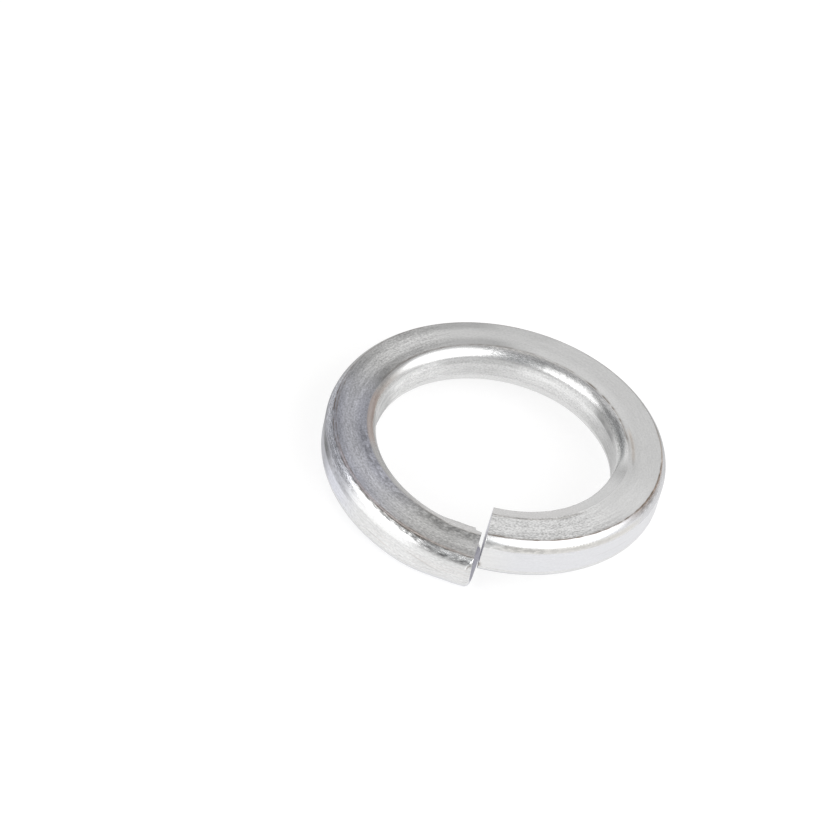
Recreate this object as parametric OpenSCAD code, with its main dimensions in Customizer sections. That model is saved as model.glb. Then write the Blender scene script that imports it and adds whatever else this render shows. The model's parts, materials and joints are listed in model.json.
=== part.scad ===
// Spring lock washer: one turn of steel band, wound as a left-hand helix and cut through.
// The bore axis is Z. The cut is at the front, on -Y, and the lowest corner is at Z = 0.
// Seen from the front, the low end is left of the cut and the high end is right of it.

/* [Band] */
// Diameter of the bore, which the bolt passes through
bore_d = 16.5; // [8:0.1:40]
// Width of the band, from the bore to the rim
band_w = 3.5; // [2:0.1:8]
// Thickness of the band
band_t = 3; // [2:0.1:6]

/* [Edges] */
// Radius of the rounded top edge along the rim
rim_round = 1.1; // [0.3:0.05:1.4]
// Slope at which the rim's rounding leaves the top face, which shows as a crisp ridge
rim_ridge = 36; // [10:1:50]
// Radius of the rounded top edge along the bore
bore_round = 0.95; // [0.3:0.05:1.4]
// Slope at which the bore's rounding leaves the top face
bore_ridge = 24; // [10:1:50]
// Radius of the smaller rounded edges round the foot
foot_round = 0.6; // [0.3:0.05:1.4]
// Slope at which the foot's roundings leave the lower face
foot_ridge = 20; // [10:1:50]

/* [Spring] */
// Height that the band climbs in one whole turn
rise = 2.2; // [0.5:0.1:6]
// Lean of the section at the ends: rim down at the low end and up at the high end
end_lean = 2.7; // [0:0.1:5]

/* [Cut] */
// Width of the cut between the two ends
cut_w = 0.35; // [0.2:0.05:3]
// Turn of the cut from the radius, seen from above
cut_skew = 5; // [-15:0.5:15]
// Slant of the cut from upright, seen from the front
cut_slant = -2.2; // [-15:0.1:15]

/* [Smoothness] */
// Stations round the turn
turn_steps = 72; // [48:4:120]
// Steps round each rounded edge
edge_steps = 4; // [2:1:6]

/* [Hidden] */

bore_r = bore_d / 2;
rim_r = bore_r + band_w;
mean_r = bore_r + band_w / 2;
half_w = band_w / 2;
half_t = band_t / 2;

// The rounding stops short of upright, and the section then runs on to a blunt point
// past the wall, so that the bore and the rim are cut as true cylinders
wall_slope = 78;
// Height of the round cut that trues each wall, well past the band above and below
wall_cut_h = 4 * (rise + band_t);
// Fineness of the true walls
wall_fn = 96;

// One rounded edge, from the ridge on the top face to nearly upright at the wall.
// The wall is half_w from the middle of the section.
function edge_points(r, ridge) =
    [for (i = [0 : edge_steps])
        let (s = ridge + (wall_slope - ridge) * i / edge_steps)
        [half_w - r + r * sin(s), half_t - r * cos(ridge) + r * cos(s)]];

function mirror_x(points) = [for (p = points) [-p[0], p[1]]];
function mirror_y(points) = [for (p = points) [p[0], -p[1]]];
function reversed(points) = [for (i = [len(points) - 1 : -1 : 0]) points[i]];

// One side of the section from its top ridge to its foot ridge.
// The two wall slopes run on from a and b, and meet in the blunt point.
function side_points(r, ridge) =
    let (
        top = edge_points(r, ridge),
        foot = reversed(mirror_y(edge_points(foot_round, foot_ridge))),
        a = top[edge_steps],
        b = foot[0],
        z = ((a[0] - b[0]) * tan(wall_slope) + a[1] + b[1]) / 2
    )
    concat(top, [[a[0] + (a[1] - z) / tan(wall_slope), z]], foot);

// The whole section, measured from its middle: rim to the right, clockwise from the top face
section = concat(
    side_points(rim_round, rim_ridge),
    reversed(mirror_x(side_points(bore_round, bore_ridge)))
);
corners = len(section);

// Where the section's point q is after the band has travelled by the angle t:
// clockwise seen from above, climbing, and leaning from one side to the other
function on_band(t, q) =
    let (
        lean = end_lean * (t / 180 - 1),
        r = mean_r + q[0] * cos(lean) - q[1] * sin(lean),
        z = q[0] * sin(lean) + q[1] * cos(lean) + rise * (t / 360 - 0.5)
    )
    [-r * sin(t), -r * cos(t), z];

// The cut is a flat slot through the band, and each end stops at one face of it
cut_middle = [0, -mean_r, 0];
cut_normal = [
    cos(cut_skew) * cos(cut_slant),
    -sin(cut_skew) * cos(cut_slant),
    -sin(cut_slant)
];

// The angle at which point q, carried along the band, reaches the slot's left (-1) or right (1) face.
// Each pass moves it by what it still misses, and it settles well before the last one.
function end_angle(t, q, face, passes = 8) =
    passes == 0
        ? t
        : let (
            p = on_band(t, q),
            miss = (p - cut_middle) * cut_normal - face * cut_w / 2,
            reach = norm([p[0], p[1]])
        )
        end_angle(t + miss / reach * 180 / PI, q, face, passes - 1);

low_angles = [for (q = section) end_angle(0, q, -1)];
high_angles = [for (q = section) end_angle(360, q, 1)];

// Each corner of the section follows its own line from the low end to the high end
band_points = [
    for (i = [0 : turn_steps])
    for (j = [0 : corners - 1])
        on_band(low_angles[j] + (high_angles[j] - low_angles[j]) * i / turn_steps, section[j])
];

band_skin = [
    for (i = [0 : turn_steps - 1])
    for (j = [0 : corners - 1])
        let (
            k = (j + 1) % corners,
            a = i * corners + j,
            b = i * corners + k,
            c = (i + 1) * corners + k,
            d = (i + 1) * corners + j
        )
        each [[a, b, c], [a, c, d]]
];

low_end = [for (j = [corners - 1 : -1 : 0]) j];
high_end = [for (j = [0 : corners - 1]) turn_steps * corners + j];

lowest = min([for (j = [0 : corners - 1]) band_points[j][2]]);

module band() {
    polyhedron(points = band_points, faces = concat(band_skin, [low_end, high_end]), convexity = 6);
}

module spring_lock_washer() {
    color("#c3c6c9")
    translate([0, 0, -lowest])
    difference() {
        intersection() {
            band();
            cylinder(h = wall_cut_h, r = rim_r, center = true, $fn = wall_fn);
        }
        cylinder(h = wall_cut_h, r = bore_r, center = true, $fn = wall_fn);
    }
}

spring_lock_washer();
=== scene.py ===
import json
from math import cos, pi, radians, sin

import bpy
import numpy as np
from mathutils import Matrix, Vector


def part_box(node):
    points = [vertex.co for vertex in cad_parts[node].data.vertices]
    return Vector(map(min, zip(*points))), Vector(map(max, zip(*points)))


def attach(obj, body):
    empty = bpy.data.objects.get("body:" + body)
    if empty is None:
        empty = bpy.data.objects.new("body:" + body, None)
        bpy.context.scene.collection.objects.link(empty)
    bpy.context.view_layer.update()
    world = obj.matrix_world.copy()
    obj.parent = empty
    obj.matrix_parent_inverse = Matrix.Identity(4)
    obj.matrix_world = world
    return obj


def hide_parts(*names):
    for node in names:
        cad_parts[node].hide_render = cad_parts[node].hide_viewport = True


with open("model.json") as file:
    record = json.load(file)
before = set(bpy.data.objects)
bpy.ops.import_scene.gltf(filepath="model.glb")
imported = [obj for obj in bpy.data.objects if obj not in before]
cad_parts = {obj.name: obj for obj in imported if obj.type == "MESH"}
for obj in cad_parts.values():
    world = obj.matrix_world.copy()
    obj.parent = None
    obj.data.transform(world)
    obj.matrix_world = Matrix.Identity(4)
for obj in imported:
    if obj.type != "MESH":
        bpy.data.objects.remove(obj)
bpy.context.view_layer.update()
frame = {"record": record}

mm = 0.001
washerNode = "spring_lock_washer"
boreMount = next(m for m in frame["record"]["mounts"] if m["name"] == "bore")
lowCorner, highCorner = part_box(washerNode)
print("frame loaded, washer box in mm:", [round(v / mm, 2) for v in highCorner - lowCorner])

# Lengths in these dictionaries are millimetres and angles are degrees. Turns go clockwise
# round the washer from the cut, seen from above, so the low end is at 0 and the high end at 360.
# The bore, the rim and the middle height come from the frame. The thickness, the climb, the lean
# and the rim's rounding are the solid's.
band = {
    "boreRadius": boreMount["dims"]["r_mm"],
    "rimRadius": (highCorner.x - lowCorner.x) / 2 / mm,
    "middleHeight": (highCorner.z + lowCorner.z) / 2 / mm,
    "thickness": 3.0,
    "climb": 2.2,                   # over one whole turn
    "lean": 2.7,                    # of the section at the two ends
    "rimRounding": 1.10,            # radius
    "rimRidge": 36.0,               # slope at which this rounding leaves the face
    # the bore's rounding: its reach over the top face, its depth down the wall, and its ridge's slope
    "boreRounding": {"left": (0.80, 0.80, 8.0), "far": (1.20, 1.20, 29.0),
                     "lowEnd": (1.20, 0.35, 6.0), "right": (1.10, 0.28, 3.5)},
    # the shares of the turn where these kinds take over from the left one: from, to, fade
    "boreStretches": {"far": (0.32, 0.70, 0.08), "right": (0.79, 1.10, 0.05),
                      "lowEnd": (-0.10, 0.02, 0.04)},
    # the foot's roundings: usual radius, largest radius, and the share of the turn for the largest
    "footRounding": {"rim": (0.60, 1.10, (-0.10, 0.02, 0.05)),
                     "bore": (0.55, 0.85, (0.36, 0.58, 0.10))},
    "footRidge": 20.0,
    "stations": 630,                # even steps along the band
    "evenFrom": 0.48,               # distance of the first of them from each cut face
    "closeStations": (0, 0.012, 0.03, 0.055, *np.arange(0.085, 0.44, 0.03)),   # the ones before it
    # points on each stretch of the section, and those close to the rim's ridge on the top face
    "points": {"top": 22, "byRidge": 15, "rimTop": 20, "rimWall": 24, "rimFoot": 9,
               "foot": 6, "boreFoot": 7, "boreWall": 12, "boreTop": 20},
    "ridgeFrom": 0.84,              # share of the top face's width where the close points begin
}
band["width"] = band["rimRadius"] - band["boreRadius"]
band["meanRadius"] = (band["rimRadius"] + band["boreRadius"]) / 2
band["length"] = 2 * pi * band["meanRadius"]

# Each cut face is turned by its skew from the radius, tipped by its slant from upright,
# and stands off the middle of the cut. Its edges are rolled over by the shear, and the twist
# is how much longer the low end is towards its foot on the bore's side.
ends = {
    "low": {"turn": 0, "skew": 6.5, "slant": -3.3, "offset": -0.13, "twist": 0.18,
            "roll": {"top": 0.002, "rimTop": 0.06, "rimWall": 0.06, "foot": 0.35, "boreTop": 0.002}},
    "high": {"turn": 360, "skew": 3.8, "slant": 1.0, "offset": 0.09,
             "roll": {"top": 0.002, "rimTop": 0.05, "rimWall": 0.025, "foot": 0.05, "boreTop": 0.12}},
}
# The cut faces are a little hollow and faintly torn
cutFace = {"rings": 10, "hollow": 0.02, "tear": 0.012, "tearCell": (0.16, 0.9)}
# A chip is missing from the low end, where its top rounding meets the bore. It goes this deep
# along the band, from a slope near the ridge down to a height on the wall.
chip = {"depth": 0.62, "ridge": 11, "ridgeFade": 4, "bottom": -0.3, "bottomFade": 0.7}
# The burr that the shear left on the low end, low on the rim's rounding: its slopes from and to,
# and its distances from the cut there. Its lip is also painted lighter, as a painted highlight
burr = {"height": 0.035, "width": 0.04, "from": 50, "to": 80, "fade": 6,
        "nearest": 0.08, "farthest": 0.34, "paintedHighlight": 0.30}


def smoothStep(low, high, value):
    # 0 below low, 1 above high, and a cubic ease between them
    t = np.clip((value - low) / (high - low), 0, 1)
    return t * t * (3 - 2 * t)


def window(start, end, fade, value):
    # 1 between start and end, easing to 0 over the fade outside them
    return smoothStep(start - fade, start, value) * (1 - smoothStep(end, end + fade, value))


def bell(centre, spread, value):
    # a bell of height 1
    return np.exp(-((value - centre) / spread) ** 2)


def cloud(u, v, cellU, cellV, seed):
    # value noise from -1 to 1: random numbers on a lattice of cells, eased between its corners
    rng = np.random.default_rng(seed)
    i, j = u / cellU, v / cellV
    i, j = i - np.floor(i.min()), j - np.floor(j.min())
    i0, j0 = np.floor(i).astype(int), np.floor(j).astype(int)
    fi, fj = i - i0, j - j0
    fi, fj = fi * fi * (3 - 2 * fi), fj * fj * (3 - 2 * fj)
    lattice = rng.uniform(-1, 1, (i0.max() + 2, j0.max() + 2))
    low = lattice[i0, j0] * (1 - fi) + lattice[i0 + 1, j0] * fi
    high = lattice[i0, j0 + 1] * (1 - fi) + lattice[i0 + 1, j0 + 1] * fi
    return low * (1 - fj) + high * fj


def roundedEdge(reach, depth, ridge, steps, side, wallToFace):
    # an arc of an ellipse at every station, from the ridge on the face to the upright wall, or back
    q = np.linspace(0, 1, steps)[None, :]
    if wallToFace:
        q = 1 - q
    reach, depth, ridge = reach[:, None], depth[:, None], np.radians(ridge[:, None])
    first = np.arctan2(reach * np.sin(ridge), depth * np.cos(ridge))
    t = first + (pi / 2 - first) * q
    x = band["width"] / 2 - reach + reach * np.sin(t)
    z = band["thickness"] / 2 - depth * np.cos(first) + depth * np.cos(t)
    nx, nz = np.sin(t) * depth, np.cos(t) * reach
    long = np.hypot(nx, nz)
    return np.stack([side[0] * x, side[1] * z, side[0] * nx / long, side[1] * nz / long], -1)


def straight(start, end, steps, normal, dense=0):
    # points strictly between the two ends of a flat stretch, and dense ones close before its end
    t = np.linspace(0, band["ridgeFrom"] if dense else 1, steps + 2)[1:-1, None]
    if dense:
        t = np.concatenate([t, np.linspace(band["ridgeFrom"], 1, dense + 1)[:-1, None]])
    points = start[:, None, :2] * (1 - t) + end[:, None, :2] * t
    return np.concatenate([points, np.broadcast_to(normal, points.shape)], -1)


def sectionOutlines(share):
    # the closed outline of the band at every station, clockwise from the top face's bore ridge:
    # the last axis holds x from the middle towards the rim, z up, and the outward normal
    even, n = np.ones(share.shape), band["points"]
    kinds = band["boreRounding"]
    parts = {kind: window(*span, share) for kind, span in band["boreStretches"].items()}
    bore = []
    for i, usual in enumerate(kinds["left"]):
        change = sum((kinds[kind][i] - usual) * part for kind, part in parts.items())
        bore.append(even * usual + change)
    foot = {}
    for side, (usual, largest, where) in band["footRounding"].items():
        foot[side] = usual + (largest - usual) * window(*where, share)
    ridge, rim = even * band["footRidge"], even * band["rimRounding"]
    rimTop = roundedEdge(rim, rim, even * band["rimRidge"], n["rimTop"], (1, 1), False)
    rimFoot = roundedEdge(foot["rim"], foot["rim"], ridge, n["rimFoot"], (1, -1), True)
    boreFoot = roundedEdge(foot["bore"], foot["bore"], ridge, n["boreFoot"], (-1, -1), False)
    boreTop = roundedEdge(*bore, n["boreTop"], (-1, 1), True)
    stretches = {
        "top": straight(boreTop[:, -1], rimTop[:, 0], n["top"], (0, 1), n["byRidge"]),
        "rimTop": rimTop,
        "rimWall": straight(rimTop[:, -1], rimFoot[:, 0], n["rimWall"], (1, 0)),
        "rimFoot": rimFoot,
        "foot": straight(rimFoot[:, -1], boreFoot[:, 0], n["foot"], (0, -1)),
        "boreFoot": boreFoot,
        "boreWall": straight(boreFoot[:, -1], boreTop[:, 0], n["boreWall"], (-1, 0)),
        "boreTop": boreTop,
    }
    zone = np.concatenate([[name] * s.shape[1] for name, s in stretches.items()])
    return np.concatenate(list(stretches.values()), 1), zone


def onBand(angle, x, z):
    # a section point after the band has turned clockwise by the angle:
    # it climbs evenly, and the section leans from rim down to rim up on the way
    lean = radians(band["lean"]) * (angle / pi - 1)
    reach = band["meanRadius"] + x * np.cos(lean) - z * np.sin(lean)
    height = x * np.sin(lean) + z * np.cos(lean) + band["climb"] * (angle / (2 * pi) - 0.5)
    return np.stack([-reach * np.sin(angle), -reach * np.cos(angle), height + band["middleHeight"]], -1)


def cutPlane(end):
    # a point on the end's cut face, and the face's direction towards the high end
    skew, slant = radians(end["skew"]), radians(end["slant"])
    normal = np.array([cos(skew) * cos(slant), -sin(skew) * cos(slant), -sin(slant)])
    lift = band["climb"] * (end["turn"] / 360 - 0.5)
    middle = np.array([0, -band["meanRadius"], band["middleHeight"] + lift])
    return middle + normal * end["offset"], normal


def endAngles(x, z, end, retreat):
    # where each point, carried along the band, meets the cut face, less its retreat
    place, normal = cutPlane(end)
    angle = np.full(x.shape, radians(end["turn"]))
    for _ in range(8):
        p = onBand(angle, x, z)
        angle = angle + (p - place) @ normal / np.hypot(p[..., 0], p[..., 1])
    return angle + retreat / band["meanRadius"]


def alongTheBand():
    # even stations from cut to cut, and close ones before the first and after the last
    close = np.array(band["closeStations"]) / band["length"]
    first = band["evenFrom"] / band["length"]
    return np.concatenate([close, np.linspace(first, 1 - first, band["stations"]), 1 - close[::-1]])


print("shaping the band")
share = alongTheBand()
outlines, zone = sectionOutlines(share)
count = len(zone)
x0, z0, nx, nz = np.moveaxis(outlines, -1, 0)
stepLength = np.hypot(np.roll(x0, -1, 1) - x0, np.roll(z0, -1, 1) - z0)
around = np.cumsum(stepLength, 1) - stepLength
girth = stepLength.sum(1, keepdims=True)
slope = np.degrees(np.arccos(np.clip(np.abs(nz), 0, 1)))  # 0 on a face, 90 on a wall
inZone = {name: zone == name for name in np.unique(zone)}

# The low end's corners stop short of its cut face at the chip, and run past it by the twist
chipped = inZone["boreTop"] * smoothStep(chip["ridge"], chip["ridge"] + chip["ridgeFade"], slope[0])
onWall = smoothStep(chip["bottom"], chip["bottom"] + chip["bottomFade"], z0[0])
chipped = chipped + inZone["boreWall"] * onWall
twist = (0.5 - x0[0] / band["width"]) * (0.5 - z0[0] / band["thickness"])
retreat = chip["depth"] * chipped - ends["low"]["twist"] * twist
lowAngle = endAngles(x0[0], z0[0], ends["low"], retreat)
highAngle = endAngles(x0[-1], z0[-1], ends["high"], 0)
angle = lowAngle + (highAngle - lowAngle) * share[:, None]
turn = np.degrees(angle)
run = share[:, None] * band["length"] * np.ones_like(turn)
fromLow, fromHigh = run, band["length"] - run


def spread(spans):
    # the stretches of the turn, each weighted: from, to, fade, amount
    return [amount * window(start, end, fade, turn) for start, end, fade, amount in spans]


def rolledOver(roll, distance):
    # how far the skin sinks near a cut: a quarter circle of the edge's own size
    size = np.full(count, roll["foot"])
    for name in ("top", "rimWall"):
        size[inZone[name]] = roll[name]
    for name in ("rimTop", "boreTop"):
        ease = np.sin(np.linspace(0, pi, np.count_nonzero(inZone[name])))
        size[inZone[name]] = roll["top"] + (roll[name] - roll["top"]) * ease
    gone = np.clip(1 - distance / size, 0, 1)
    return size * (1 - np.sqrt(1 - gone ** 2))


# Where the steel is scuffed, and where its roundings are beaten, with the stretches of the turn
wear = {
    "topScuffs": [(-30, 140, 26, 1.0), (330, 390, 36, 1.3), (140, 330, 20, 0.26)],
    "boreWallScuffs": [(90, 140, 16, 1.0), (140, 262, 20, 0.7)],
    "rimWallScuffs": [(-10, 96, 20, 0.5), (96, 370, 10, 0.12)],
    "rimBeaten": [(-10, 17, 7, 1.0), (54, 100, 8, 1.0), (276, 294, 6, 0.4)],
    "underRidge": [(-10, 104, 12, 1.0), (270, 300, 10, 0.5)],
    "rimWallBeaten": [(60, 98, 8, 1.0)],
    "boreBeaten": [(172, 262, 10, 0.5), (98, 112, 6, 0.3), (-10, 30, 10, 0.3)],
    "plainBeforeCut": (0.25, 0.60),     # where the beaten stretch by the low end's cut begins
    "waviness": 0.008, "wavinessCell": (4.0, 1.5),
    "dents": 0.006, "dentsCell": (0.5, 0.3),
}
# The bright patch on the left begins at this slope, and nearer the ridge further from the cut. Above it
# the rounding is beaten, and painted shade keeps the lamp's light off it.
brightPatch = {"slope": 58, "rise": 16, "from": 18, "to": 50}
top, rimTop, boreTop = inZone["top"], inZone["rimTop"], inZone["boreTop"]
risen = smoothStep(brightPatch["from"], brightPatch["to"], turn)
patchSlope = brightPatch["slope"] - brightPatch["rise"] * risen
rimWall = inZone["rimWall"] + rimTop * smoothStep(62, 85, slope)
boreWall = inZone["boreWall"] + boreTop * smoothStep(62, 85, slope)
upper = 1 - smoothStep(62, 80, slope)
rimOutside = rimTop | inZone["rimWall"]


def patches(name):
    # the strongest of the wear's stretches
    return np.max(spread(wear[name]), 0)


scuffed = patches("topScuffs") * top + patches("boreWallScuffs") * boreWall
scuffed += patches("rimWallScuffs") * rimWall
abovePatch = 1 - smoothStep(patchSlope - 3, patchSlope + 4, slope)
beaten = np.maximum(patches("rimBeaten"), patches("underRidge") * abovePatch) * rimTop * upper
beaten = np.maximum(beaten, patches("rimWallBeaten") * rimOutside * smoothStep(0.10, 0.30, z0))
beaten += patches("boreBeaten") * boreTop * upper
beaten *= smoothStep(*wear["plainBeforeCut"], fromLow)
relief = wear["waviness"] * cloud(run, around, *wear["wavinessCell"], seed=3)
relief += wear["dents"] * beaten * cloud(run, around, *wear["dentsCell"], seed=5)

along = smoothStep(burr["from"], burr["to"], slope)
along = burr["nearest"] + (burr["farthest"] - burr["nearest"]) * along
lip = rimTop * bell(along, burr["width"], fromLow)
lip = lip * window(burr["from"], burr["to"], burr["fade"], slope)
relief += burr["height"] * lip
relief -= rolledOver(ends["low"]["roll"], fromLow) + rolledOver(ends["high"]["roll"], fromHigh)
skin = onBand(angle, x0 + nx * relief, z0 + nz * relief)


def capRings(edgePoints, outward, seed):
    # the sheared face of one end: the outline shrinks to its centre in even steps
    centre = edgePoints.mean(0)
    inwards = np.linspace(1, 0, cutFace["rings"] + 2)[1:-1, None, None]
    rings = centre + (edgePoints - centre) * inwards
    torn = cutFace["tear"] * cloud(rings[..., 1], rings[..., 2], *cutFace["tearCell"], seed)
    hollow = cutFace["hollow"] * (1 - inwards)
    return rings - outward * (hollow + torn[..., None]), centre - outward * cutFace["hollow"]


# the low end looks along its plane's direction, and the high end looks back at it
lowRings, lowCentre = capRings(skin[0], cutPlane(ends["low"])[1], seed=21)
highRings, highCentre = capRings(skin[-1], -cutPlane(ends["high"])[1], seed=22)
grid = np.concatenate([lowRings[::-1], skin, highRings])
rows = len(grid)
points = np.concatenate([grid.reshape(-1, 3), [lowCentre, highCentre]])

# quads between neighbouring rows, then a fan of triangles to the centre of each end
row, column = (g.ravel() for g in np.meshgrid(np.arange(rows - 1), np.arange(count), indexing="ij"))
first, beside = row * count + column, row * count + (column + 1) % count
quads = np.stack([first, beside, beside + count, first + count], -1)
ring = np.arange(count)
lastRow = (rows - 1) * count + ring
lowFan = np.stack([np.roll(ring, -1), ring, np.full(count, rows * count)], -1)
highFan = np.stack([lastRow, np.roll(lastRow, -1), np.full(count, rows * count + 1)], -1)

mesh = bpy.data.meshes.new("washerBand")
mesh.from_pydata((points * mm).tolist(), [], quads.tolist() + lowFan.tolist() + highFan.tolist())
mesh.update()
mesh.polygons.foreach_set("use_smooth", np.ones(len(mesh.polygons), bool))
print("band made,", len(points), "vertices")

# The paint: the plain steel, the tints that multiply it in places (one a painted reflection), what
# covers it (dirt, and painted shade), and the cut faces (painted shade on one, painted light on the
# other)
paint = {
    "steel": (0.770, 0.770, 0.767),
    # a painted reflection: the bluish room seen in the steel at a grazing angle
    "bluishReflection": (0.87, 0.885, 1.0),
    "rust": (1.0, 0.88, 0.77),
    "beige": (0.975, 0.955, 0.90),
    "warm": (1.0, 0.89, 0.85),
    # dirt, and also the painted shade behind the burr
    "dirtAndShade": (0.17, 0.13, 0.10),
    # the two cut faces are one sheared steel: the low one painted darker as shade, the high one lighter
    # as lit
    "lowCutShaded": (0.33, 0.325, 0.39),
    "highCutLit": (0.66, 0.66, 0.72),
}
# How much lighter or darker than plain each part of the skin is: partly the steel's own uneven tone,
# and partly painted reflections and painted shade that the lamps and the room do not give. The parts
# are those of skinParts, and their stretches of the turn are: from, to, fade, amount.
allRound = (-90, 450, 1)
toneAndPaintedLight = {
    "top": [(*allRound, -0.045), (-20, 6, 10, 0.02), (14, 110, 20, -0.10), (32, 60, 16, 0.06),
            (74, 114, 20, -0.10), (138, 160, 14, 0.04), (296, 380, 20, 0.12)],
    "topByRim": [(-30, 92, 16, -0.13), (-30, 8, 10, -0.09), (112, 130, 12, -0.22),
                 (140, 166, 12, -0.30), (176, 192, 8, -0.08), (320, 380, 30, -0.13)],
    "topByBore": [(-30, 104, 20, -0.15), (-20, 18, 14, -0.16), (-20, 66, 20, 0.13), (30, 72, 14, -0.07),
                  (116, 172, 16, -0.24), (196, 240, 12, 0.08), (262, 300, 12, -0.06)],
    "rimTop": [(-10, 10, 10, -0.03), (190, 292, 14, -0.16)],
    "rimCrest": [(296, 380, 10, -0.15)],
    # painted shade on the rounding above the bright patch, where the lamp would light it
    "rimAbovePatch": [(18, 52, 8, -0.24)],
    # painted shade on the upper rim rounding round the far side, where the lamps light it white
    "rimUpper": [(116, 250, 24, -0.46)],
    "rimBesideShine": [(288, 296, 6, -0.03)],
    "rimTip": [(-10, 15, 6, -0.20)],
    # painted shade on the middle of the rim's rounding, either side of the bright patch
    "rimMiddle": [(-10, 16, 8, -0.46), (54, 70, 14, -0.48)],
    "rimLower": [(248, 270, 8, -0.22)],
    # painted highlight: the bright patch carried further down the rounding
    "rimShoulder": [(28, 50, 8, 0.25)],
    "rimUnderShine": [(320, 370, 14, -0.05)],
    "boreUpper": [(*allRound, -0.28), (-30, 22, 14, 0.20), (54, 110, 10, -0.08), (112, 126, 8, -0.10),
                  (176, 226, 10, 0.24), (238, 268, 14, 0.36), (294, 380, 14, 0.22)],
    "boreLower": [(*allRound, -0.14), (-30, 66, 14, -0.34), (34, 60, 12, -0.13), (76, 86, 8, -0.18),
                  (246, 284, 8, 0.12), (300, 380, 8, -0.33)],
    # painted shade on the bore's rounding between its two highlights
    "boreMiddle": [(196, 216, 8, -0.24)],
    # painted highlight carrying the bore's first highlight further down, then painted shade further
    # round
    "boreShoulder": [(116, 140, 12, 0.22), (236, 250, 8, -0.25)],
    "boreStreaks": [(226, 256, 9, -0.32)],
    "boreWall": [(*allRound, -0.06), (40, 74, 12, -0.35), (74, 108, 14, -0.34), (122, 146, 10, 0.05),
                 (154, 186, 10, -0.06), (238, 278, 14, -0.20), (250, 290, 10, -0.10)],
    "boreWallHigh": [(74, 108, 14, 0.119)],
    # painted highlight: the bore's second highlight fading down its wall
    "boreWallHigher": [(194, 230, 12, 0.24)],
    "rimWall": [(28, 58, 12, 0.07), (74, 112, 10, -0.38), (300, 380, 15, 0.05)],
    "rimWallHigh": [(56, 74, 10, -0.38), (74, 112, 10, -0.14)],
    "footShade": [(338, 370, 14, -0.50)],
}
# the same again, partly painted shade and painted light, but only where the steel is mottled
mottledShadeAndTone = {
    "topByBore": [(-20, 66, 20, -0.26)],
    "rimAbovePatch": [(18, 52, 8, -0.42)],
    "rimTip": [(-10, 15, 6, 0.42)],
    "rimBesideShine": [(288, 296, 6, -0.18)],
    "rimUnderShine": [(320, 370, 14, -0.06), (344, 370, 10, -0.18)],
}
# where the tints lie; the bluish one is a painted reflection
tints = {
    "bluishReflection": {"top": [(56, 88, 34, 0.72)], "topByEither": [(56, 88, 34, 0.28)],
              "rimOutside": [(62, 96, 20, 0.70), (264, 345, 15, 0.28)],
              "footEdge": [(*allRound, 0.45)]},
    "rust": {"rimRidge": [(256, 294, 10, 1.0)], "topStreak": [(256, 269, 6, 0.5)]},
    "beige": {"rimUnderShine": [(306, 348, 12, 1.0)]},
    "warm": {"boreTop": [(-30, 70, 10, 0.10), (322, 380, 10, 0.10)], "boreCrest": [(76, 98, 10, 1.0)],
             "topByRidge": [(10, 66, 10, 0.9)], "rimSmears": [(-10, 30, 10, 0.6)]},
}
# Dirt lines along the ridges: distance from the ridge, width, and the stretches
rimLines = [(0.0, 0.045, [(4, 104, 14, 0.8), (276, 358, 10, 1.0)]), (0.0, 0.05, [(120, 262, 14, 0.45)]),
            (0.19, 0.04, [(26, 100, 10, 0.65)]), (0.08, 0.10, [(320, 358, 20, 0.30)])]
boreLines = [(0.02, 0.06, [(118, 258, 12, 0.45), (222, 258, 8, 0.45)]),
             (0.30, 0.06, [(258, 274, 4, 0.34)])]
dirtPatches = {"topWander": [(322, 358, 8, 0.38)], "rimUnderShineLine": [(310, 344, 14, 0.12)]}
# Fine scratches along the rim's wall: from turn, to turn, heights at both, thickness, strength
scratches = [(3, 9, (-0.84, -0.80), 0.04, 0.6), (12, 23, (-0.28, 0.10), 0.03, 0.35),
             (26, 40, (-0.62, -0.50), 0.03, 0.22), (306, 318, (-0.2, -0.2), 0.03, 0.12)]
# A dark spot at the high end's lower corner: its reach from the cut, its height and its spread there
cornerSpot = {"reach": 0.12, "height": -0.85, "spread": 0.18, "strength": 0.8}
# The shade behind the burr: how far before the burr it lies, its width, and the slope where it begins
burrShade = {"before": 0.08, "width": 0.03, "from": 66, "strength": 0.7}
toRim = around[:, [np.flatnonzero(rimTop)[0]]] - around
fromBore = around
mottled = smoothStep(-0.35, 0.35, cloud(run, around, 0.20, 0.11, seed=31))


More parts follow.
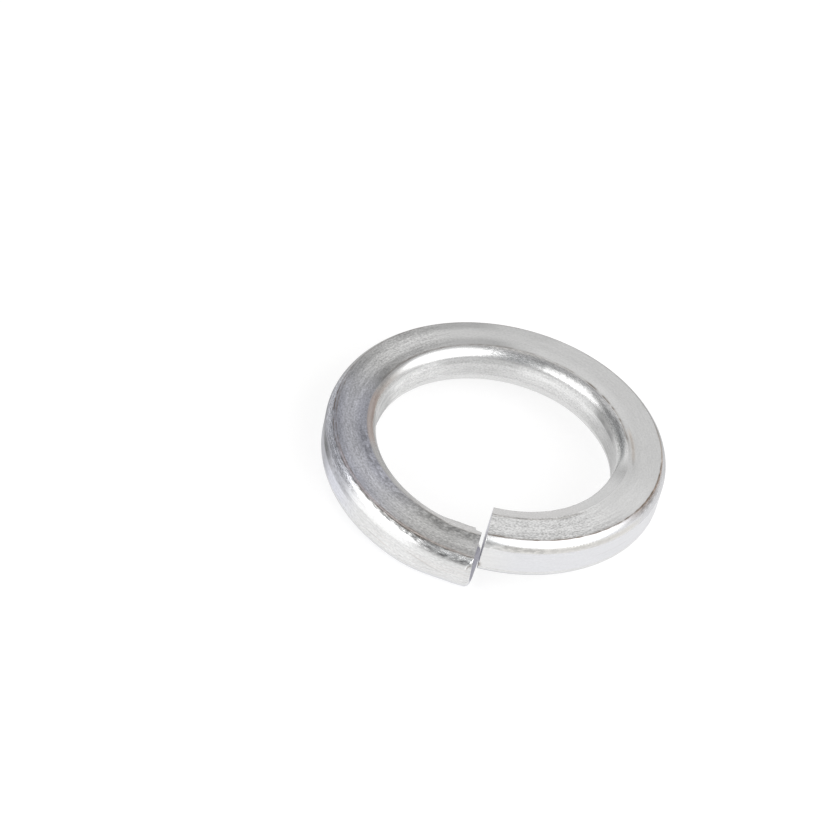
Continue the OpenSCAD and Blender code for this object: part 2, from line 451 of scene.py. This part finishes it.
def skinParts():
    # the parts of the skin that the dictionaries above name, each 1 inside and 0 outside
    byRim, byBore = 1 - smoothStep(0.35, 0.95, toRim), 1 - smoothStep(0.35, 1.00, fromBore)
    low, down = smoothStep(48, 60, slope), smoothStep(32, 46, slope)
    wander = 0.10 + 0.08 * cloud(run, around, 1.2, 9, seed=33)
    smears = smoothStep(0.35, 0.9, cloud(run, around, 3.0, 0.12, seed=12))
    streaky = smoothStep(-0.3, 0.5, cloud(run, around, 1.6, 0.09, seed=32))
    parts = {
        "top": top, "topByRim": top * byRim, "topByBore": top * byBore,
        "topByEither": top * np.maximum(byRim, byBore),
        "topByRidge": top * bell(0.12, 0.07, toRim),
        "topStreak": top * bell(0.30, 0.12, fromBore),
        "topWander": top * bell(wander, 0.10, fromBore),
        "rimOutside": rimOutside, "rimWall": rimWall, "boreWall": boreWall,
        "rimWallHigh": rimWall * smoothStep(0.05, 0.30, z0),
        "rimSmears": inZone["rimWall"] * smears,
        "boreWallHigh": boreWall * smoothStep(-0.6, 0.4, z0),
        "boreWallHigher": boreWall * smoothStep(-0.4, 0.3, z0),
        "footShade": inZone["rimFoot"] * (1 - smoothStep(48, 66, slope)),
        "footEdge": inZone["rimFoot"] * (1 - smoothStep(50, 80, slope)),
    }
    # parts of the rim's rounding, by slope
    for name, amount in (
            ("Top", 1), ("Upper", 1 - low), ("Lower", low), ("Middle", low * upper),
            ("Ridge", 1 - smoothStep(38, 44, slope)), ("Crest", 1 - smoothStep(36, 42, slope)),
            ("AbovePatch", 1 - smoothStep(patchSlope - 3, patchSlope + 3, slope)),
            ("BesideShine", 1 - smoothStep(54, 64, slope)), ("Tip", 1 - smoothStep(60, 68, slope)),
            ("Shoulder", smoothStep(56, 66, slope)), ("UnderShine", window(66, 82, 7, slope)),
            ("UnderShineLine", bell(73, 4, slope))):
        parts["rim" + name] = rimTop * amount
    # parts of the bore's rounding, by slope
    for name, amount in (
            ("Top", 1), ("Upper", 1 - down), ("Lower", down), ("Middle", window(44, 56, 8, slope)),
            ("Crest", 1 - smoothStep(33, 46, slope)), ("Shoulder", smoothStep(56, 70, slope)),
            ("Streaks", (1 - smoothStep(50, 66, slope)) * streaky)):
        parts["bore" + name] = boreTop * amount
    return parts


def overParts(parts, amounts):
    # the stretches of each named part, added up over the skin
    return sum(parts[name] * sum(spread(spans)) for name, spans in amounts.items())


def paintSteel():
    parts = skinParts()
    # the tone: the steel's own, painted reflections and shade, and the painted highlight on the burr's
    # lip
    tone = 1 + overParts(parts, toneAndPaintedLight) + mottled * overParts(parts, mottledShadeAndTone) + burr["paintedHighlight"] * lip
    # scuffs vary the tone in streaks: wide and narrow ones on top, and others on the walls
    onTop = 0.05 * cloud(run, around, 2.2, 0.5, seed=8) + 0.07 * cloud(run, around, 2.6, 0.13, seed=34)
    onWalls = 0.08 * cloud(run, around, 2.5, 0.3, seed=9)
    tone += scuffed * (top * onTop + (rimWall + boreWall) * onWalls)
    colour = np.array(paint["steel"]) * tone[..., None]
    for name, amounts in tints.items():
        amount = np.clip(overParts(parts, amounts), 0, 1)[..., None]
        colour *= 1 + (np.array(paint[name]) - 1) * amount

    ragged = 0.8 + 0.6 * cloud(run, around, 0.35, 0.25, seed=14)
    # dirt lines, scratches and a dark spot, with the painted shade behind the burr, in one dark colour
    shadeAndDirtCover = overParts(parts, dirtPatches)
    for lines, distance in ((rimLines, toRim), (boreLines, fromBore)):
        for place, width, spans in lines:
            shadeAndDirtCover += ragged * bell(place, width, distance) * sum(spread(spans))
    for start, end, heights, thickness, strength in scratches:
        height = heights[0] + (heights[1] - heights[0]) * (turn - start) / (end - start)
        line = window(start, end, 2, turn) * bell(height, thickness, z0)
        shadeAndDirtCover += strength * inZone["rimWall"] * line
    spot = bell(0, cornerSpot["reach"], fromHigh) * bell(cornerSpot["height"], cornerSpot["spread"], z0)
    shadeAndDirtCover += cornerSpot["strength"] * spot * (rimWall + inZone["rimFoot"])
    shade = bell(along - burrShade["before"], burrShade["width"], fromLow)
    shade = shade * window(burrShade["from"], burr["to"], burr["fade"], slope)
    shadeAndDirtCover += burrShade["strength"] * rimTop * shade
    return colour + (np.array(paint["dirtAndShade"]) - colour) * np.clip(shadeAndDirtCover, 0, 1)[..., None]


# The finish: roughness of each kind of skin, how scuffed the rest of it is, and where the fine
# chatter marks are
finish = {"rounding": 0.27, "face": 0.31, "scuffs": 0.03, "cutFace": 0.42,
          "footScuffs": 0.6, "roundingScuffs": 0.2,
          "chatterTurns": (300, 328, 8), "chatterHeights": (0.55, 1.00, 0.12)}


def finishSteel():
    # roughness, scuffs, beaten texture and chatter marks, in the four channels of one colour
    onRound = rimTop | boreTop | inZone["rimFoot"] | inZone["boreFoot"]
    roughness = np.where(onRound, finish["rounding"], finish["face"]) + finish["scuffs"] * scuffed
    others = finish["footScuffs"] * inZone["foot"] + finish["roundingScuffs"] * onRound
    scuffs = np.maximum(scuffed, others)
    marks = window(*finish["chatterTurns"], turn) * window(*finish["chatterHeights"], z0)
    return np.stack([roughness, scuffs, beaten, marks * rimOutside], -1)


def colourAttribute(name, values, lowCap, highCap):
    # the skin's values row by row, between those of the two cut faces
    low, high = (np.broadcast_to(cap, (len(lowRings) * count, 4)) for cap in (lowCap, highCap))
    flat = np.concatenate([low, values.reshape(-1, 4), high, [lowCap, highCap]])
    layer = mesh.color_attributes.new(name, "FLOAT_COLOR", "POINT")
    layer.data.foreach_set("color", flat.astype(np.float32).ravel())


opaque = np.ones((*turn.shape, 1))
caps = [(*paint[name], 1) for name in ("lowCutShaded", "highCutLit")]
colourAttribute("paint", np.concatenate([paintSteel(), opaque], -1), *caps)
colourAttribute("finish", finishSteel(), *[(finish["cutFace"], 0, 0, 0)] * 2)

# The band's own map: along the band across the picture, round the section up the picture
beyond = np.arange(1, 1 + len(lowRings)) * 0.001
uvAlong = np.concatenate([-beyond[::-1], share, 1 + beyond])
uvAround = np.append((around / girth).mean(0), 1)
u = uvAlong[np.stack([row, row, row + 1, row + 1], -1)]
v = uvAround[np.stack([column, column + 1, column + 1, column], -1)]
fans = np.tile([[0.5, 0.5]], (6 * count, 1))
uvLayer = mesh.uv_layers.new(name="band")
uvLayer.data.foreach_set("uv", np.concatenate([np.stack([u, v], -1).reshape(-1, 2), fans]).ravel())

# The ridges and the edges of the cut stay crisp
edgeEnds = np.empty(len(mesh.edges) * 2, int)
mesh.edges.foreach_get("vertices", edgeEnds)
edgeEnds = edgeEnds.reshape(-1, 2)
edgeColumn, edgeRow = edgeEnds % count, edgeEnds // count
ridges = [np.flatnonzero(inZone[name])[k] for name, k in
          (("rimTop", 0), ("rimFoot", -1), ("boreFoot", 0), ("boreTop", -1))]
crisp = (edgeColumn[:, 0] == edgeColumn[:, 1]) & np.isin(edgeColumn[:, 0], ridges)
cutRows = [len(lowRings), len(lowRings) + len(share) - 1]
crisp |= (edgeRow[:, 0] == edgeRow[:, 1]) & np.isin(edgeRow[:, 0], cutRows)
mesh.attributes.new("sharp_edge", "BOOLEAN", "EDGE").data.foreach_set("value", crisp)

washer = bpy.data.objects.new("washer_band", mesh)
bpy.context.scene.collection.objects.link(washer)


def mathNode(tree, operation, a, b):
    node = tree.nodes.new("ShaderNodeMath")
    node.operation = operation
    for socket, value in zip(node.inputs, (a, b)):
        if isinstance(value, (int, float)):
            socket.default_value = value
        else:
            tree.links.new(value, socket)
    return node.outputs[0]


def noiseNode(tree, vector, scale, detail):
    # noise on a map or a place, stretched by three scales
    mapping = tree.nodes.new("ShaderNodeMapping")
    mapping.inputs["Scale"].default_value = scale
    tree.links.new(vector, mapping.inputs["Vector"])
    node = tree.nodes.new("ShaderNodeTexNoise")
    node.inputs["Scale"].default_value = 1
    node.inputs["Detail"].default_value = detail
    node.inputs["Roughness"].default_value = 0.6
    tree.links.new(mapping.outputs["Vector"], node.inputs["Vector"])
    return node.outputs["Fac"]


def easedNode(tree, value, start, end):
    node = tree.nodes.new("ShaderNodeMapRange")
    node.interpolation_type = "SMOOTHSTEP"
    tree.links.new(value, node.inputs["Value"])
    node.inputs["From Min"].default_value = start
    node.inputs["From Max"].default_value = end
    return node.outputs["Result"]


def mixNode(tree, factor, a, b):
    node = tree.nodes.new("ShaderNodeMix")
    node.data_type = "RGBA"
    tree.links.new(factor, node.inputs[0])
    for socket, value in ((node.inputs[6], a), (node.inputs[7], b)):
        if isinstance(value, tuple):
            socket.default_value = (*value, 1)
        else:
            tree.links.new(value, socket)
    return node.outputs[2]


# Textures of the steel: how many per millimetre along and round the band, how deep they are in
# millimetres, how much they vary the tone, and how fine their detail is
textures = {
    "streaks": {"perMm": (0.9, 6.0), "depth": 0.004, "tone": 0.9, "detail": 5},
    "specks": {"perMm": (5.5, 9.0), "depth": 0.004, "tone": 1.6, "detail": 4},
    "beaten": {"perMm": (3.0, 12.0), "depth": 0.022, "tone": 2.6, "detail": 4},
}
grain = {"perMm": 9.0, "depth": 0.0016, "detail": 2}
chatter = {"pitch": 0.22, "depth": 0.007}


def makeSteel():
    material = bpy.data.materials.new("platedSteel")
    material.use_nodes = True
    tree = material.node_tree
    nodes, links = tree.nodes, tree.links
    shader = nodes["Principled BSDF"]
    uv = nodes.new("ShaderNodeUVMap")
    uv.uv_map = "band"
    painted, finished = nodes.new("ShaderNodeAttribute"), nodes.new("ShaderNodeAttribute")
    painted.attribute_name, finished.attribute_name = "paint", "finish"
    channels = nodes.new("ShaderNodeSeparateColor")
    links.new(finished.outputs["Color"], channels.inputs[0])
    rough, scuffs, beats = channels.outputs
    place = nodes.new("ShaderNodeTexCoord").outputs["Object"]

    # the map is stretched to millimetres, so that textures keep their size
    lengths = (band["length"], float(girth.mean()))
    split = nodes.new("ShaderNodeSeparateXYZ")
    links.new(uv.outputs[0], split.inputs[0])
    wave = mathNode(tree, "MULTIPLY", split.outputs["X"], 2 * pi * band["length"] / chatter["pitch"])
    wave = mathNode(tree, "MULTIPLY", mathNode(tree, "SINE", wave, 0), chatter["depth"])
    wave = mathNode(tree, "MULTIPLY", wave, finished.outputs["Alpha"])
    grains = noiseNode(tree, place, [grain["perMm"] / mm] * 3, grain["detail"])
    height = mathNode(tree, "MULTIPLY", grains, grain["depth"])
    height = mathNode(tree, "ADD", height, wave)

    # each pattern raises the skin, and lightens the paint where it is high
    shade = 1.0
    amounts = {"streaks": scuffs, "specks": scuffs, "beaten": beats}
    for name, facts in textures.items():
        scale = [n * length for n, length in zip(facts["perMm"], lengths)] + [1]
        pattern = noiseNode(tree, uv.outputs[0], scale, facts["detail"])
        pattern = mathNode(tree, "MULTIPLY", mathNode(tree, "SUBTRACT", pattern, 0.5), amounts[name])
        height = mathNode(tree, "ADD", height, mathNode(tree, "MULTIPLY", pattern, facts["depth"]))
        shade = mathNode(tree, "ADD", mathNode(tree, "MULTIPLY", pattern, facts["tone"]), shade)
    toned = nodes.new("ShaderNodeVectorMath")
    toned.operation = "SCALE"
    links.new(painted.outputs["Color"], toned.inputs[0])
    links.new(shade, toned.inputs["Scale"])
    links.new(toned.outputs[0], shader.inputs["Base Color"])
    shader.inputs["Metallic"].default_value = 1
    links.new(rough, shader.inputs["Roughness"])

    bump = nodes.new("ShaderNodeBump")
    bump.inputs["Distance"].default_value = mm
    links.new(height, bump.inputs["Height"])
    links.new(bump.outputs["Normal"], shader.inputs["Normal"])
    return material


mesh.materials.append(makeSteel())
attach(washer, "root")
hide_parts(washerNode)
print("steel painted")

# The floor, the soft boxes and the room. Bearings turn from -Y towards +X.
studio = {
    "floorSize": 1.2,
    "floorColour": (0.36, 0.36, 0.36),
    "floorGlow": 0.64,      # seen in the steel only
    "floorWhite": 0.72,     # seen by the camera only
    "floorPatches": [       # seen in the steel only: x, y and radius in metres, fade, and how bright
        (-0.019, 0.009, 0.0055, 0.006, 0.30),
    ],
    # bearing, height, distance, size and radiance; the wide lamps soften the edge of the others
    "lamps": {
        "right": (56, 37, 0.25, (0.36, 0.25), 1.25),
        "rightWide": (56, 37, 0.27, (0.48, 0.35), 0.35),
        "left": (-58, 20, 0.25, (0.27, 0.17), 1.3),
        "leftWide": (-58, 20, 0.27, (0.38, 0.26), 0.45),
    },
    # what the steel sees of the room: a pale backdrop low down, and a darker ceiling
    "low": (0.84, 0.84, 0.84),
    "high": (0.36, 0.36, 0.37),
    "horizon": (0.62, 0.82),
    "spots": [              # bearing, height, radius, fade, colour
        (-118, 8, 16, 24, (0.27, 0.275, 0.28)),
        (125, 12, 6, 24, (0.56, 0.50, 0.46)),
        (-6, 28, 12, 22, (0.42, 0.43, 0.44)),
        (180, 78, 12, 20, (0.80, 0.78, 0.74)),
    ],
}


def towards(bearing, height):
    b, h = radians(bearing), radians(height)
    return Vector((sin(b) * cos(h), -cos(b) * cos(h), sin(h)))


def makeFloor():
    half = studio["floorSize"] / 2
    floorMesh = bpy.data.meshes.new("floor")
    corners = [(-half, -half, 0), (half, -half, 0), (half, half, 0), (-half, half, 0)]
    floorMesh.from_pydata(corners, [], [(0, 1, 2, 3)])
    floor = bpy.data.objects.new("floor", floorMesh)
    bpy.context.scene.collection.objects.link(floor)
    material = bpy.data.materials.new("palePaper")
    material.use_nodes = True
    tree = material.node_tree
    shader = tree.nodes["Principled BSDF"]
    shader.inputs["Base Color"].default_value = (*studio["floorColour"], 1)
    shader.inputs["Roughness"].default_value = 0.9
    shader.inputs["Specular IOR Level"].default_value = 0
    shader.inputs["Emission Color"].default_value = (1, 1, 1, 1)
    path = tree.nodes.new("ShaderNodeLightPath")
    rays = path.outputs["Is Glossy Ray"], path.outputs["Is Transmission Ray"]
    glow = mathNode(tree, "MULTIPLY", mathNode(tree, "MAXIMUM", *rays), studio["floorGlow"])
    place = tree.nodes.new("ShaderNodeTexCoord").outputs["Object"]
    for x, y, radius, fade, bright in studio["floorPatches"]:
        away = tree.nodes.new("ShaderNodeVectorMath")
        away.operation = "DISTANCE"
        tree.links.new(place, away.inputs[0])
        away.inputs[1].default_value = (x, y, 0)
        inside = easedNode(tree, away.outputs["Value"], radius + fade, radius)
        change = mathNode(tree, "MULTIPLY", inside, bright - 1)
        glow = mathNode(tree, "MULTIPLY", glow, mathNode(tree, "ADD", change, 1.0))
    white = mathNode(tree, "MULTIPLY", path.outputs["Is Camera Ray"], studio["floorWhite"])
    glow = mathNode(tree, "ADD", glow, white)
    tree.links.new(glow, shader.inputs["Emission Strength"])
    floorMesh.materials.append(material)


def makeLamp(name, bearing, height, distance, size, radiance):
    # a soft box that faces the washer; its power gives it the stated radiance
    data = bpy.data.lights.new(name, "AREA")
    data.shape = "ELLIPSE"
    data.size, data.size_y = size
    data.energy = radiance * pi * data.size * data.size_y * pi / 4
    lamp = bpy.data.objects.new(name, data)
    direction = towards(bearing, height)
    lamp.location = direction * distance
    lamp.rotation_euler = direction.to_track_quat("Z", "Y").to_euler()
    lamp.visible_camera = False
    bpy.context.scene.collection.objects.link(lamp)


def makeWorld():
    world = bpy.data.worlds.new("studio")
    bpy.context.scene.world = world
    world.use_nodes = True
    tree = world.node_tree
    direction = tree.nodes.new("ShaderNodeTexCoord").outputs["Generated"]
    split = tree.nodes.new("ShaderNodeSeparateXYZ")
    tree.links.new(direction, split.inputs[0])
    upwards = easedNode(tree, split.outputs["Z"], *studio["horizon"])
    colour = mixNode(tree, upwards, studio["low"], studio["high"])
    for bearing, height, radius, fade, shade in studio["spots"]:
        facing = tree.nodes.new("ShaderNodeVectorMath")
        facing.operation = "DOT_PRODUCT"
        tree.links.new(direction, facing.inputs[0])
        facing.inputs[1].default_value = towards(bearing, height)
        outerEdge, innerEdge = cos(radians(radius + fade)), cos(radians(radius))
        inside = easedNode(tree, facing.outputs["Value"], outerEdge, innerEdge)
        colour = mixNode(tree, inside, colour, shade)
    path = tree.nodes.new("ShaderNodeLightPath")
    colour = mixNode(tree, path.outputs["Is Camera Ray"], colour, (1.0, 1.0, 1.0))
    tree.links.new(colour, tree.nodes["Background"].inputs["Color"])


# The photograph's viewing angle, found by fitting the camera to the ring's edges
view = {"lookAt": (-6.115, 2.013, 2.65), "distance": 240.42,
        "azimuth": -3.83, "elevation": 41.57, "roll": 15.13, "lens": 153.66}


def makeCamera():
    back = towards(view["azimuth"], view["elevation"])
    level = Vector((cos(radians(view["azimuth"])), sin(radians(view["azimuth"])), 0))
    roll = radians(view["roll"])
    side = level * cos(roll) + back.cross(level) * sin(roll)
    data = bpy.data.cameras.new("camera")
    data.lens, data.sensor_width = view["lens"], 36
    data.clip_start = 0.01
    camera = bpy.data.objects.new("camera", data)
    place = (Vector(view["lookAt"]) + back * view["distance"]) * mm
    axes = Matrix((side, back.cross(side), back)).transposed().to_4x4()
    camera.matrix_world = Matrix.Translation(place) @ axes
    bpy.context.scene.collection.objects.link(camera)
    bpy.context.scene.camera = camera


makeFloor()
for lampName, lampFacts in studio["lamps"].items():
    makeLamp(lampName, *lampFacts)
makeWorld()
makeCamera()
bpy.context.scene.view_settings.view_transform = "Standard"
print("studio set")
